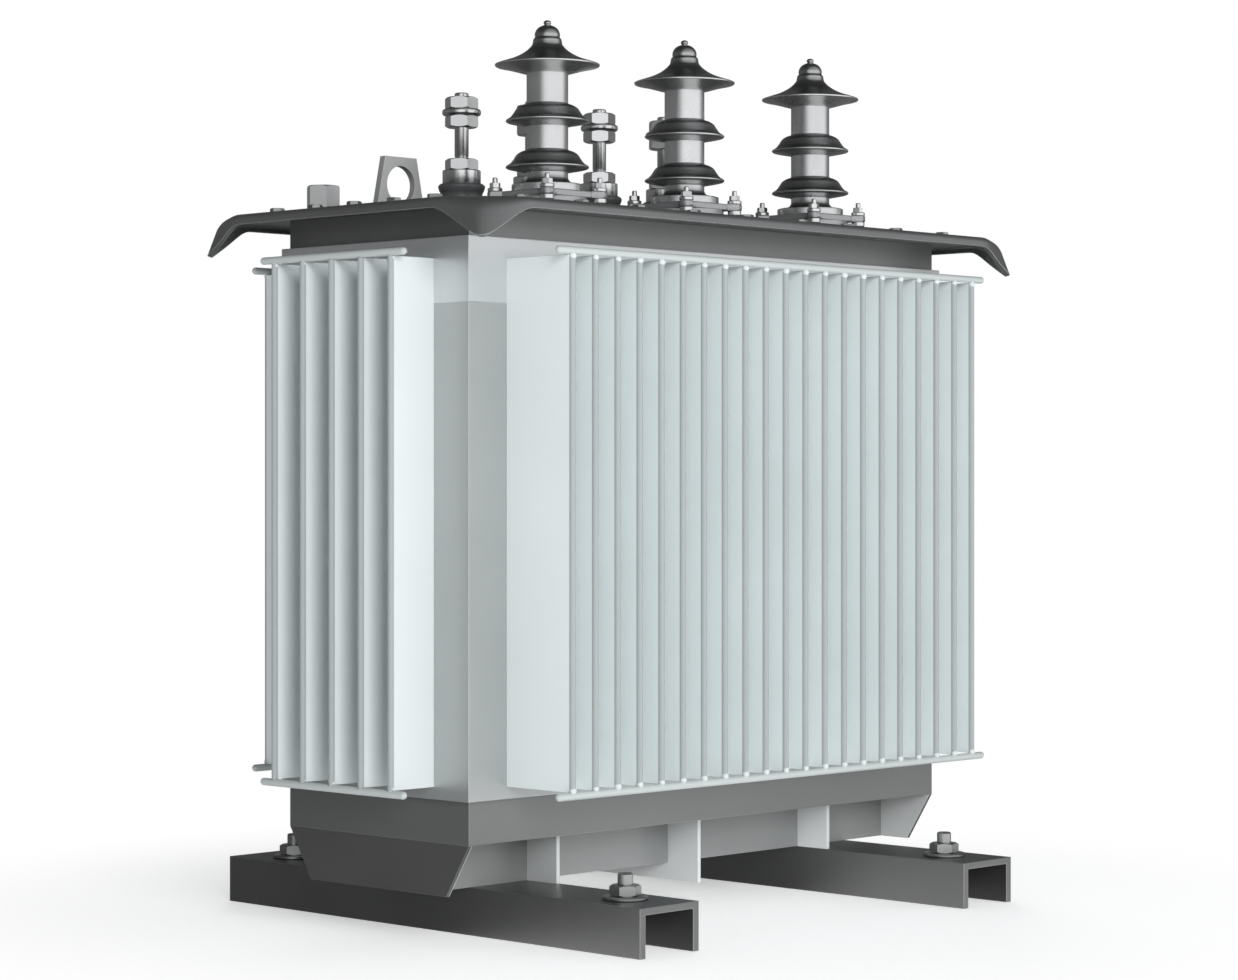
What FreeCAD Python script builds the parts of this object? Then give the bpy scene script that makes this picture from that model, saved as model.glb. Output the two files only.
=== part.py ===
import FreeCAD, Part
import math
import os

import Sketcher

# Oil-filled distribution transformer with a corrugated tank, in millimetres.
# X runs along the long side, -Y is the high voltage side, +Z is up.
# The origin is on the ground, in the middle of the two skid channels.

doc = FreeCAD.newDocument("transformer")

# ---------------------------------------------------------------- driving sizes
SIZES = {
    # skid channels and the bolts that hold them down
    "skid_gauge": 660, "skid_width": 109, "skid_height": 64, "skid_length": 812,
    "skid_flange": 10, "skid_web": 9, "skid_end_to_bolt": 78,
    "bolt_shank": 20, "bolt_hole_gap": 1, "bolt_nut": 42, "bolt_nut_height": 14,
    "bolt_washer": 60, "bolt_washer_thick": 5, "bolt_reach": 34, "bolt_head_height": 12,
    # underframe
    "frame_height": 69, "frame_plate": 6, "end_plate_inset": 43,
    "rib_front_inset": 36, "long_plate_inset": 93, "mid_plate_drop": 24,
    # tank
    "tank_length": 952, "tank_width": 354, "tank_shift": 13,
    "tray_height": 57, "wall_proud": 8, "wall_height": 642, "collar_height": 85, "neck_height": 38,
    # corrugated cooling panels
    "fin_thick": 8.8, "long_fin_count": 21, "long_fin_pitch": 41.2, "long_fin_depth": 120,
    "short_fin_count": 5, "short_fin_pitch": 57.5, "short_fin_depth": 75,
    "fin_foot_gap": 16, "fin_height": 684, "rod_radius": 5, "rod_past_fin": 28,
    # lid
    "lid_side_overhang": 80, "lid_front_overhang": 107, "lid_thick": 6, "lid_rim": 14,
    "lid_corner_leg": 81, "flap_bend": 32, "flap_angle": 67.6, "flap_straight": 30,
    "flap_tip_width": 20, "seat_gap": 0.3,
    # high voltage bushings
    "hv_pitch": 271, "hv_inset": 64, "hv_body_radius": 28, "hv_root_radius": 48,
    "hv_top_shed": 70.5, "hv_low_shed": 56, "hv_ring_radius": 55, "hv_ring_height": 20,
    "hv_plate_side": 99, "hv_plate_corner": 12, "hv_plate_thick": 9,
    "hv_top_rim": 199, "hv_mid_rim": 124, "hv_low_rim": 62, "hv_body_top": 224, "hv_cap_height": 36,
    "hv_cap_radius": 20.4,
    "clamp_square": 99.4, "clamp_stud_radius": 3.5, "clamp_stud_height": 48,
    "clamp_claw_radius": 10, "clamp_claw_thick": 5, "clamp_nut": 15, "clamp_nut_height": 7,
    # low voltage bushings
    "lv_pitch": 138.8, "lv_inset": 55, "lv_collar_radius": 33, "lv_foot_radius": 29,
    "lv_collar_height": 59, "lv_cup_radius": 27, "lv_cup_height": 19, "lv_hex": 47.5,
    "lv_hex_height": 16, "lv_stud_radius": 10, "lv_stud_height": 187, "lv_nut_low": 138,
    "lv_nut_height": 17, "lv_washer_radius": 27.4, "lv_washer_thick": 9,
    # lifting lugs and oil filler
    "lug_top_width": 56, "lug_foot_width": 86, "lug_height": 73, "lug_thick": 10, "lug_hole": 50,
    "lug_hole_height": 36, "lug_inset": 50,
    "filler_hex": 47, "filler_hex_height": 37, "filler_neck_radius": 20, "filler_neck_height": 5,
    "filler_side_inset": 30, "filler_back_inset": 34,
}

# Heights, edges and rows that follow from the driving sizes.
WORKED_OUT = {
    "tray_z": "skid_height + frame_height",
    "wall_z": "tray_z + tray_height",
    "collar_z": "wall_z + wall_height",
    "neck_z": "collar_z + collar_height",
    "lid_under": "neck_z + neck_height",
    "lid_top": "lid_under + lid_thick",
    "half_length": "tank_length / 2",
    "half_width": "tank_width / 2",
    "front_y": "-half_width - tank_shift",
    "back_y": "half_width - tank_shift",
    "wall_half_x": "half_length + wall_proud",
    "wall_half_y": "half_width + wall_proud",
    "fin_z": "wall_z + fin_foot_gap",
    "fin_top": "fin_z + fin_height",
    "long_fin_run": "(long_fin_count - 1) * long_fin_pitch",
    "short_fin_run": "(short_fin_count - 1) * short_fin_pitch",
    "lid_half_x": "half_length + lid_side_overhang",
    "lid_half_y": "half_width + lid_front_overhang",
    "corner_half": "lid_corner_leg / sqrt(2)",
    "flap_out": "flap_bend * sin(flap_angle)",
    "flap_down": "flap_bend * (1 - cos(flap_angle))",
    "flap_drop": "flap_down + flap_straight * sin(flap_angle)",
    "hv_y": "front_y + hv_inset",
    "plate_z": "lid_top + hv_ring_height",
    "root_z": "plate_z + hv_plate_thick",
    "lv_y": "back_y - lv_inset",
    "cup_z": "lv_collar_height + lv_cup_height",
}

sheet = doc.addObject("Spreadsheet::Sheet", "sizes")
ROWS = [(name, str(value)) for name, value in SIZES.items()]
ROWS += [(name, "=" + rule) for name, rule in WORKED_OUT.items()]
for row, (name, value) in enumerate(ROWS, start=1):
    sheet.set(f"A{row}", name)
    sheet.set(f"B{row}", value)
    sheet.setAlias(f"B{row}", name)
doc.recompute()
NAMES = {name for name, _ in ROWS}


# ---------------------------------------------------------------- ways of making
def bound(rule):
    """A rule in plain size names, written as an expression on the sheet."""
    out = ""
    word = ""
    for letter in rule + " ":
        if letter.isalnum() or letter == "_":
            word += letter
            continue
        out += ("sizes." + word if word in NAMES else word) + letter
        word = ""
    return out.strip()


def worth(rule):
    """What a rule comes to now."""
    value = sheet.evalExpression(bound(rule))
    return float(getattr(value, "Value", value))


def place(item, at, turn=0.0, axis=(0, 0, 1)):
    """Set an object's place from three rules, after a turn in degrees about an axis."""
    rotation = FreeCAD.Rotation(FreeCAD.Vector(*axis), turn)
    item.Placement = FreeCAD.Placement(FreeCAD.Vector(*[worth(rule) for rule in at]), rotation)
    for letter, rule in zip("xyz", at):
        item.setExpression("Placement.Base." + letter, bound(rule))
    return item


def primitive(kind, name, at, turn=0.0, axis=(0, 0, 1), **rules):
    """A Part primitive whose sizes are rules."""
    item = doc.addObject(kind, name)
    for prop, rule in rules.items():
        item.setExpression(prop, bound(rule))
    return place(item, at, turn, axis)


def box(name, at, length, width, height):
    return primitive("Part::Box", name, at, Length=length, Width=width, Height=height)


def cylinder(name, at, radius, height, turn=0.0, axis=(0, 0, 1)):
    return primitive("Part::Cylinder", name, at, turn, axis, Radius=radius, Height=height)


def hexagon(name, at, across_corners, height):
    item = primitive("Part::Prism", name, at, Circumradius=across_corners + " / 2", Height=height)
    item.Polygon = 6
    return item


def joined(kind, name, items):
    """Several objects as one: fused, in common, or side by side in a compound."""
    item = doc.addObject(kind, name)
    if kind == "Part::Compound":
        item.Links = items
    else:
        item.Shapes = items
    return item


def taken_from(name, base, tool):
    item = doc.addObject("Part::Cut", name)
    item.Base = base
    item.Tool = tool
    return item


def sketch_on(body, name, role):
    """An empty sketch on one of the body's own origin planes."""
    sketch = body.newObject("Sketcher::SketchObject", name)
    plane = next(feature for feature in body.Origin.OriginFeatures if feature.Role == role)
    sketch.AttachmentSupport = [(plane, "")]
    sketch.MapMode = "FlatFace"
    return sketch


def pin_down(sketch, point, rules):
    """Tie one point of a sketch, given as (geometry, end), to two rules."""
    for kind, axis, rule in zip(("DistanceX", "DistanceY"), (-2, -1), rules):
        if rule == "0":
            sketch.addConstraint(Sketcher.Constraint("PointOnObject", *point, axis))
        else:
            number = sketch.addConstraint(Sketcher.Constraint(kind, -1, 1, *point, worth(rule)))
            sketch.setExpression(f"Constraints[{number}]", bound(rule))


def outline(body, name, role, corners, arcs=None):
    """A closed sketch through corners, each a pair of rules.

    arcs gives, by the number of the side, the rules of that side's centre and
    whether it is travelled clockwise.
    """
    arcs = arcs or {}
    sketch = sketch_on(body, name, role)
    points = [FreeCAD.Vector(worth(x), worth(y), 0) for x, y in corners]
    ends = []
    for side, start in enumerate(points):
        end = points[(side + 1) % len(points)]
        if side not in arcs:
            sketch.addGeometry(Part.LineSegment(start, end), False)
            ends.append((1, 2))
            continue
        x_rule, y_rule, clockwise = arcs[side]
        centre = FreeCAD.Vector(worth(x_rule), worth(y_rule), 0)
        circle = Part.Circle(centre, FreeCAD.Vector(0, 0, 1), (start - centre).Length)
        first, last = (end, start) if clockwise else (start, end)
        angles = [math.atan2(point.y - centre.y, point.x - centre.x) for point in (first, last)]
        sketch.addGeometry(Part.ArcOfCircle(circle, angles[0], angles[1]), False)
        ends.append((2, 1) if clockwise else (1, 2))
    for side in range(len(points)):
        after = (side + 1) % len(points)
        link = Sketcher.Constraint("Coincident", side, ends[side][1], after, ends[after][0])
        sketch.addConstraint(link)
    for side, corner in enumerate(corners):
        pin_down(sketch, (side, ends[side][0]), corner)
    for side, (_, y_rule, _) in arcs.items():
        number = sketch.addConstraint(Sketcher.Constraint("DistanceY", -1, 1, side, 3, worth(y_rule)))
        sketch.setExpression(f"Constraints[{number}]", bound(y_rule))
    return sketch


def padded(name, role, corners, thick, at, turn=0.0, both_ways=True, arcs=None):
    """A body padded from one outline."""
    body = doc.addObject("PartDesign::Body", name)
    feature = body.newObject("PartDesign::Pad", name + "_pad")
    feature.Profile = outline(body, name + "_outline", role, corners, arcs)
    feature.setExpression("Length", bound(thick))
    feature.Midplane = both_ways
    return place(body, at, turn)


def turned(name, profile, at):
    """A body of revolution, from radius and height rules."""
    body = doc.addObject("PartDesign::Body", name)
    sketch = outline(body, name + "_profile", "XZ_Plane", profile)
    feature = body.newObject("PartDesign::Revolution", name + "_turn")
    feature.Profile = sketch
    feature.ReferenceAxis = (sketch, ["V_Axis"])
    feature.Angle = 360
    return place(body, at)


PARTS = []


def keep(name, item):
    """Name a finished sub-part. Its label is the name of its file."""
    item.Label = name
    PARTS.append(item)


# ---------------------------------------------------------------- skid channels
# Two channels laid open side down across the tank, drilled for the holding bolts.
BOLT_Y = "(skid_length / 2 - skid_end_to_bolt)"
for side, sign in (("left", "-"), ("right", "")):
    outer, inner = "skid_width / 2", "(skid_width / 2 - skid_flange)"
    web_under = "skid_height - skid_web"
    section = [("-" + outer, "0"), ("-" + inner, "0"), ("-" + inner, web_under), (inner, web_under),
               (inner, "0"), (outer, "0"), (outer, "skid_height"), ("-" + outer, "skid_height")]
    skid = padded("skid_" + side, "XZ_Plane", section, "skid_length", (sign + "skid_gauge / 2", "0", "0"))
    holes = sketch_on(skid, "skid_holes_" + side, "XY_Plane")
    for number, end in enumerate(("-", "")):
        middle = FreeCAD.Vector(0, worth(end + BOLT_Y), 0)
        holes.addGeometry(Part.Circle(middle, FreeCAD.Vector(0, 0, 1), worth("bolt_shank / 2")), False)
        pin_down(holes, (number, 3), ("0", end + BOLT_Y))
        radius = holes.addConstraint(Sketcher.Constraint("Radius", number, worth("bolt_shank / 2")))
        holes.setExpression(f"Constraints[{radius}]", bound("bolt_shank / 2 + bolt_hole_gap"))
    drilled = skid.newObject("PartDesign::Pocket", "skid_drilled_" + side)
    drilled.Profile = holes
    drilled.Type = "ThroughAll"
    drilled.Midplane = True
    keep("skid_" + side, skid)

# Each holding bolt hangs by its nut and washer on the web, with its head inside the channel.
bolts = []
for number, (x_sign, y_sign) in enumerate((("-", "-"), ("-", ""), ("", "-"), ("", ""))):
    def at(z, x=x_sign + "skid_gauge / 2", y=y_sign + BOLT_Y):
        return (x, y, z)
    under = "skid_height - skid_web"
    pieces = [
        cylinder(f"bolt_shank_{number}", at(under + " - bolt_head_height"), "bolt_shank / 2",
                 "skid_web + bolt_head_height + bolt_reach"),
        hexagon(f"bolt_head_{number}", at(under + " - bolt_head_height"), "bolt_nut", "bolt_head_height"),
        cylinder(f"bolt_washer_{number}", at("skid_height"), "bolt_washer / 2", "bolt_washer_thick"),
        hexagon(f"bolt_nut_{number}", at("skid_height + bolt_washer_thick"), "bolt_nut", "bolt_nut_height"),
    ]
    bolts.append(joined("Part::MultiFuse", f"skid_bolt_{number}", pieces))
keep("skid_bolts", joined("Part::Compound", "skid_bolts", bolts))

# ---------------------------------------------------------------- underframe
# Steel plates on edge, welded under the tank floor and standing on the skids.
MIDDLE_Y = "-tank_shift"
for side, x in (("left", "-half_length + frame_plate / 2"), ("right", "half_length - frame_plate / 2")):
    ends = [("-(half_width - end_plate_inset)", "0"), ("half_width - end_plate_inset", "0"),
            ("half_width", "frame_height"), ("-half_width", "frame_height")]
    name = "base_end_plate_" + side
    keep(name, padded(name, "YZ_Plane", ends, "frame_plate", (x, MIDDLE_Y, "skid_height")))

for side, y in (("front", "front_y + long_plate_inset"), ("back", "back_y - long_plate_inset")):
    starts = {"left": "-half_length + frame_plate + seat_gap", "right": "frame_plate / 2 + seat_gap"}
    half_run = "half_length - frame_plate * 1.5 - seat_gap * 2"
    halves = [box(f"base_long_{side}_{end}", (x, y, "skid_height"), half_run, "frame_plate", "frame_height")
              for end, x in starts.items()]
    keep("base_long_plate_" + side, joined("Part::Compound", "base_long_plate_" + side, halves))

RIB_DEPTH = "long_plate_inset - rib_front_inset - seat_gap"
for side, x in (("left", "-skid_gauge / 2 + skid_width / 2 - frame_plate"),
                ("right", "skid_gauge / 2 - skid_width / 2")):
    places = {"front": "front_y + rib_front_inset",
              "back": "back_y - long_plate_inset + frame_plate + seat_gap"}
    depths = {"front": RIB_DEPTH, "back": RIB_DEPTH + " - frame_plate"}
    ribs = [box(f"base_rib_{side}_{end}", (x, y, "skid_height"), "frame_plate", depths[end], "frame_height")
            for end, y in places.items()]
    keep("base_ribs_" + side, joined("Part::Compound", "base_ribs_" + side, ribs))

mid_corner = ("-frame_plate / 2", "front_y + rib_front_inset", "skid_height - mid_plate_drop")
keep("base_mid_plate", box("base_mid_plate", mid_corner, "frame_plate",
                           "tank_width - 2 * rib_front_inset", "frame_height + mid_plate_drop"))

# ---------------------------------------------------------------- tank
# A floor tray, the wall box that stands 8 mm proud of it, a collar above, and the neck under the lid.
for name, half_x, half_y, z, height in (
        ("tank_floor_tray", "half_length", "half_width", "tray_z", "tray_height"),
        ("tank_wall_box", "wall_half_x", "wall_half_y", "wall_z", "wall_height"),
        ("tank_wall_collar", "wall_half_x", "wall_half_y", "collar_z", "collar_height"),
        ("tank_neck", "half_length", "half_width", "neck_z", "neck_height")):
    corner = ("-" + half_x, f"-{half_y} - tank_shift", z)
    keep(name, box(name, corner, "2 * " + half_x, "2 * " + half_y, height))


# ---------------------------------------------------------------- cooling panels
# Each fin is one hollow fold of the corrugated wall, closed here, with a rounded nose.
def fin_panel(name, depth, pitch, count, run, at, turn):
    body = doc.addObject("PartDesign::Body", name)
    half = "fin_thick / 2"
    corners = [(f"-{run} / 2 + {half}", "0"), (f"-{run} / 2 - {half}", "0"),
               (f"-{run} / 2 - {half}", f"-({depth} - {half})"),
               (f"-{run} / 2 + {half}", f"-({depth} - {half})")]
    nose = {2: (f"-{run} / 2", f"-({depth} - {half})", False)}
    sketch = outline(body, name + "_fold", "XY_Plane", corners, nose)
    fold = body.newObject("PartDesign::Pad", name + "_pad")
    fold.Profile = sketch
    fold.setExpression("Length", bound("fin_height"))
    doc.recompute()
    row = body.newObject("PartDesign::LinearPattern", name + "_row")
    row.Originals = [fold]
    row.Direction = (sketch, ["H_Axis"])
    row.setExpression("Length", bound(run))
    row.setExpression("Occurrences", bound(count))
    body.Tip = row
    keep(name, place(body, at, turn))


def fin_rods(name, depth, run, at, turn):
    """The round rods that tie the fin tips, one on the top ends and one under the feet."""
    reach = f"({run} / 2 + rod_past_fin)"
    out = f"({depth} - rod_radius)"
    heights = (("low", "fin_z - rod_radius"), ("high", "fin_top + rod_radius"))
    rods = []
    for level, z in heights:
        x, y, _ = at
        across = {0: ("-" + reach, y + " - " + out), 180: ("-" + reach, y + " + " + out),
                  90: (x + " + " + out, "-" + reach + " - tank_shift"),
                  270: (x + " - " + out, "-" + reach + " - tank_shift")}[turn]
        lying = (0, 1, 0) if turn in (0, 180) else (-1, 0, 0)
        rods.append(cylinder(f"{name}_{level}", (*across, z), "rod_radius", "2 * " + reach, 90, lying))
    keep(name, joined("Part::Compound", name, rods))


SIDES = {
    "front": ("long", ("0", "-wall_half_y - tank_shift", "fin_z"), 0),
    "back": ("long", ("0", "wall_half_y - tank_shift", "fin_z"), 180),
    "left": ("short", ("-wall_half_x", MIDDLE_Y, "fin_z"), 270),
    "right": ("short", ("wall_half_x", MIDDLE_Y, "fin_z"), 90),
}
for side, (length, at, turn) in SIDES.items():
    depth, pitch, count, run = (f"{length}_fin_{what}" for what in ("depth", "pitch", "count", "run"))
    fin_panel("fins_" + side, depth, pitch, count, run, at, turn)
    fin_rods("fin_rods_" + side, depth, run, at, turn)

# ---------------------------------------------------------------- lid
# A pressed sheet with a rim turned down on four sides and its corners bent down as flaps.
lid_pan = padded("lid_pan", "XY_Plane", [
    ("lid_half_x", "-(lid_half_y - lid_corner_leg)"), ("lid_half_x", "lid_half_y - lid_corner_leg"),
    ("lid_half_x - lid_corner_leg", "lid_half_y"), ("-(lid_half_x - lid_corner_leg)", "lid_half_y"),
    ("-lid_half_x", "lid_half_y - lid_corner_leg"), ("-lid_half_x", "-(lid_half_y - lid_corner_leg)"),
    ("-(lid_half_x - lid_corner_leg)", "-lid_half_y"), ("lid_half_x - lid_corner_leg", "-lid_half_y")],
    "lid_rim", ("0", MIDDLE_Y, "lid_top - lid_rim"), both_ways=False)
hollow = lid_pan.newObject("PartDesign::Pocket", "lid_hollow")
hollow.Profile = outline(lid_pan, "lid_hollow_outline", "XY_Plane", [
    ("lid_half_x - lid_thick", "-(lid_half_y - lid_thick)"),
    ("lid_half_x - lid_thick", "lid_half_y - lid_thick"),
    ("-(lid_half_x - lid_thick)", "lid_half_y - lid_thick"),
    ("-(lid_half_x - lid_thick)", "-(lid_half_y - lid_thick)")])
hollow.setExpression("Length", bound("lid_rim - lid_thick"))
hollow.Reversed = True
doc.recompute()
lid_pieces = [lid_pan]
CORNERS = (("", "", 45), ("-", "", 135), ("-", "-", 225), ("", "-", 315))
for number, (x_sign, y_sign, turn) in enumerate(CORNERS):
    fold = (x_sign + "(lid_half_x - lid_corner_leg / 2)",
            y_sign + "(lid_half_y - lid_corner_leg / 2) - tank_shift", "lid_top")
    end_x, end_z = "flap_out + flap_straight * cos(flap_angle)", "-flap_drop"
    skin_x, skin_z = "lid_thick * sin(flap_angle)", "lid_thick * cos(flap_angle)"
    sheet_line = [("0", "0"), ("0", "-lid_thick"),
                  (f"flap_out - {skin_x}", f"-flap_down - {skin_z}"),
                  (f"{end_x} - {skin_x}", f"{end_z} - {skin_z}"), (end_x, end_z), ("flap_out", "-flap_down")]
    bends = {1: ("0", "-flap_bend", True), 5: ("0", "-flap_bend", False)}
    bent = padded(f"flap_sheet_{number}", "XZ_Plane", sheet_line, "2 * corner_half", fold, turn,
                  arcs=bends)
    point = padded(f"flap_point_{number}", "YZ_Plane", [
        ("-flap_tip_width / 2", "-flap_drop - lid_thick"), ("flap_tip_width / 2", "-flap_drop - lid_thick"),
        ("corner_half", "-lid_rim"), ("corner_half", "0"),
        ("-corner_half", "0"), ("-corner_half", "-lid_rim")],
        "4 * corner_half", fold, turn)
    inside = padded(f"flap_bound_{number}", "XY_Plane", [
        ("0", "-corner_half"), ("corner_half", "0"), ("0", "corner_half")],
        "4 * corner_half", fold, turn)
    lid_pieces.append(joined("Part::MultiCommon", f"flap_{number}", [bent, point, inside]))
keep("lid", joined("Part::MultiFuse", "lid", lid_pieces))

# ---------------------------------------------------------------- high voltage bushings
# Three porcelain bushings with sheds, each on a ring and a clamp plate, held by four studs.
BUSHINGS = {"left": "-hv_pitch", "middle": "0", "right": "hv_pitch"}
rings = []
clamps = []
for name, x in BUSHINGS.items():
    middle = (x, "hv_y")
    rings.append(cylinder("hv_ring_" + name, (*middle, "lid_top"), "hv_ring_radius", "hv_ring_height"))

    half, corner = "hv_plate_side / 2", "(hv_plate_side / 2 - hv_plate_corner)"
    keep("hv_clamp_plate_" + name, padded("hv_clamp_plate_" + name, "XY_Plane", [
        (half, "-" + corner), (half, corner), (corner, half), ("-" + corner, half), ("-" + half, corner),
        ("-" + half, "-" + corner), ("-" + corner, "-" + half), (corner, "-" + half)],
        "hv_plate_thick", (*middle, "plate_z"), both_ways=False))

    foot = "(hv_ring_height + hv_plate_thick)"
    body_radius = "hv_body_radius"
    profile = [("0", "0"), ("hv_root_radius", "0"), ("hv_root_radius", "7"), ("hv_root_radius - 8", "11"),
               (body_radius, "13")]
    for rim, radius in (("hv_low_rim", "hv_low_shed"), ("hv_mid_rim", "hv_low_shed")):
        profile += [(body_radius, f"{rim} - {foot} - 7"), (f"{radius} - 4", f"{rim} - {foot} - 3"),
                    (radius, f"{rim} - {foot}"), (f"{radius} * 0.8", f"{rim} - {foot} + 8"),
                    (f"{radius} * 0.62", f"{rim} - {foot} + 17"), (body_radius, f"{rim} - {foot} + 21")]
    profile += [(body_radius, f"hv_top_rim - {foot} - 11"),
                ("hv_top_shed - 4", f"hv_top_rim - {foot} - 3"), ("hv_top_shed", f"hv_top_rim - {foot}"),
                ("hv_top_shed * 0.6", f"hv_top_rim - {foot} + 9"),
                ("hv_cap_radius + 3", f"hv_body_top - {foot} - 4"), ("hv_cap_radius", f"hv_body_top - {foot}"),
                ("0", f"hv_body_top - {foot}")]
    keep("hv_porcelain_" + name, turned("hv_porcelain_" + name, profile, (*middle, "root_z")))

    dome = [("0", "0"), ("hv_cap_radius", "0"), ("hv_cap_radius", "hv_cap_height * 0.24"),
            ("hv_cap_radius - 4", "hv_cap_height * 0.34"), ("hv_cap_radius - 4", "hv_cap_height * 0.5"),
            ("hv_cap_radius - 12", "hv_cap_height * 0.74"), ("hv_cap_radius - 15", "hv_cap_height * 0.8"),
            ("hv_cap_radius - 15", "hv_cap_height - 2"), ("hv_cap_radius - 17", "hv_cap_height"),
            ("0", "hv_cap_height")]
    keep("hv_terminal_" + name, turned("hv_terminal_" + name, dome, (*middle, "lid_top + hv_body_top")))

    for x_way, y_way in (("-", "-"), ("+", "-"), ("-", "+"), ("+", "+")):
        spot = (f"{x} {x_way} clamp_square / 2", f"hv_y {y_way} clamp_square / 2")
        tag = f"{name}_{len(clamps)}"
        clamps.append(joined("Part::MultiFuse", "clamp_" + tag, [
            cylinder("clamp_stud_" + tag, (*spot, "lid_top"), "clamp_stud_radius", "clamp_stud_height"),
            cylinder("clamp_claw_" + tag, (*spot, "root_z"), "clamp_claw_radius", "clamp_claw_thick"),
            hexagon("clamp_nut_" + tag, (*spot, "root_z + clamp_claw_thick"), "clamp_nut",
                    "clamp_nut_height")]))
keep("hv_rings", joined("Part::Compound", "hv_rings", rings))
keep("hv_clamp_studs", joined("Part::Compound", "hv_clamp_studs", clamps))

# ---------------------------------------------------------------- low voltage bushings
# Four short bushings in a row, each a dark collar with a metal cup, and a stud with two nuts.
for number in range(4):
    spot = (f"{number - 1.5} * lv_pitch", "lv_y")
    insulator = [("0", "0"), ("lv_foot_radius", "0"), ("lv_foot_radius", "lv_collar_height - 16"),
                 ("lv_collar_radius", "lv_collar_height - 6"), ("lv_collar_radius", "lv_collar_height - 3"),
                 ("lv_cup_radius", "lv_collar_height"), ("lv_cup_radius", "cup_z"), ("0", "cup_z")]
    keep(f"lv_insulator_{number + 1}", turned(f"lv_insulator_{number + 1}", insulator, (*spot, "lid_top")))
    low = "lid_top + lv_nut_low"
    pieces = [
        hexagon(f"lv_hex_{number}", (*spot, "lid_top + cup_z"), "lv_hex", "lv_hex_height"),
        cylinder(f"lv_stud_{number}", (*spot, "lid_top + cup_z"), "lv_stud_radius", "lv_stud_height - cup_z"),
        hexagon(f"lv_nut_low_{number}", (*spot, low), "lv_hex", "lv_nut_height"),
        cylinder(f"lv_washer_{number}", (*spot, low + " + lv_nut_height"), "lv_washer_radius",
                 "lv_washer_thick"),
        hexagon(f"lv_nut_top_{number}", (*spot, low + " + lv_nut_height + lv_washer_thick"), "lv_hex",
                "lv_nut_height"),
    ]
    keep(f"lv_terminal_{number + 1}", joined("Part::MultiFuse", f"lv_terminal_{number + 1}", pieces))

# ---------------------------------------------------------------- lifting lugs and oil filler
# Two trapezoid plates with an eye, welded on the lid near its ends, and a hexagonal filler plug.
for side, x in (("left", "-(half_length - lug_inset)"), ("right", "half_length - lug_inset")):
    trapezoid = [("-lug_foot_width / 2", "0"), ("lug_foot_width / 2", "0"),
                 ("lug_top_width / 2", "lug_height"), ("-lug_top_width / 2", "lug_height")]
    blank = padded("lug_blank_" + side, "XZ_Plane", trapezoid, "lug_thick", (x, "0", "lid_top"))
    eye = cylinder("lug_eye_" + side, (x, "lug_thick", "lid_top + lug_hole_height"),
                   "lug_hole / 2", "2 * lug_thick", 90, (1, 0, 0))
    keep("lifting_lug_" + side, taken_from("lifting_lug_" + side, blank, eye))

FILLER = ("-(half_length - filler_side_inset)", "back_y - filler_back_inset")
keep("oil_filler_plug", joined("Part::MultiFuse", "oil_filler_plug", [
    cylinder("filler_neck", (*FILLER, "lid_top"), "filler_neck_radius", "filler_neck_height"),
    hexagon("filler_head", (*FILLER, "lid_top + filler_neck_height"), "filler_hex", "filler_hex_height")]))

# ---------------------------------------------------------------- check and write
doc.recompute()
for item in doc.Objects:
    if "Invalid" in item.State or "Error" in item.State:
        raise RuntimeError(f"{item.Name} did not recompute: {item.State}")
for item in PARTS:
    if item.Shape.isNull() or not item.Shape.isValid() or not item.Shape.Solids:
        raise RuntimeError(f"{item.Label} has no valid shape")

os.makedirs("parts", exist_ok=True)
for item in PARTS:
    item.Shape.exportStep(f"parts/{item.Label}.step")
print(len(PARTS), "sub-parts,", sum(len(item.Shape.Solids) for item in PARTS), "solids")
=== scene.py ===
import math

import bmesh
import bpy
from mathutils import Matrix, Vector


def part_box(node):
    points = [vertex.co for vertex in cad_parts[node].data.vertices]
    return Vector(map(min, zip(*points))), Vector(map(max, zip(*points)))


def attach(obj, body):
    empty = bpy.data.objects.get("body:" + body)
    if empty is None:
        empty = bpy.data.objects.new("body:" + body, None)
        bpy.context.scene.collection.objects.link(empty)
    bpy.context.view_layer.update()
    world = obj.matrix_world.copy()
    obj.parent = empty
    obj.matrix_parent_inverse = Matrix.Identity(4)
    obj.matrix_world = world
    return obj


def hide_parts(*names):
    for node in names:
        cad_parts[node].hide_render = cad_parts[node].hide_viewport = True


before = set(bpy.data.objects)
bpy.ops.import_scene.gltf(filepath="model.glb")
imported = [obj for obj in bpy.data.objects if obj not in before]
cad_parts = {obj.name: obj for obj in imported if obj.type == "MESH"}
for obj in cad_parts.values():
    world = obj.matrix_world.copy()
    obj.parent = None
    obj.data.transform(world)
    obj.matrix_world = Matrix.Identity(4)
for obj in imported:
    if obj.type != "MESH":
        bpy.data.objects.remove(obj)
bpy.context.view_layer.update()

# ---------------------------------------------------------------- studio
# A level camera opposite one corner, a pale floor that fades into white, and four soft lights:
# a strong one ahead, a faint one by the short side, one by the long side and one behind.
# Reflections see no lamps, only a surround and a floor brightest ahead of the long side.
scene = bpy.context.scene
scene.view_settings.view_transform = "Standard"

camera_data = bpy.data.cameras.new("camera")
camera_data.lens = 92.5
camera_data.sensor_width = 36
camera_data.shift_y = -0.008
camera = bpy.data.objects.new("camera", camera_data)
camera.location = (-3.2787, -3.1622, 0.603)
camera.rotation_euler = (math.pi / 2, 0, -math.radians(46.02))
scene.collection.objects.link(camera)
scene.camera = camera

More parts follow.
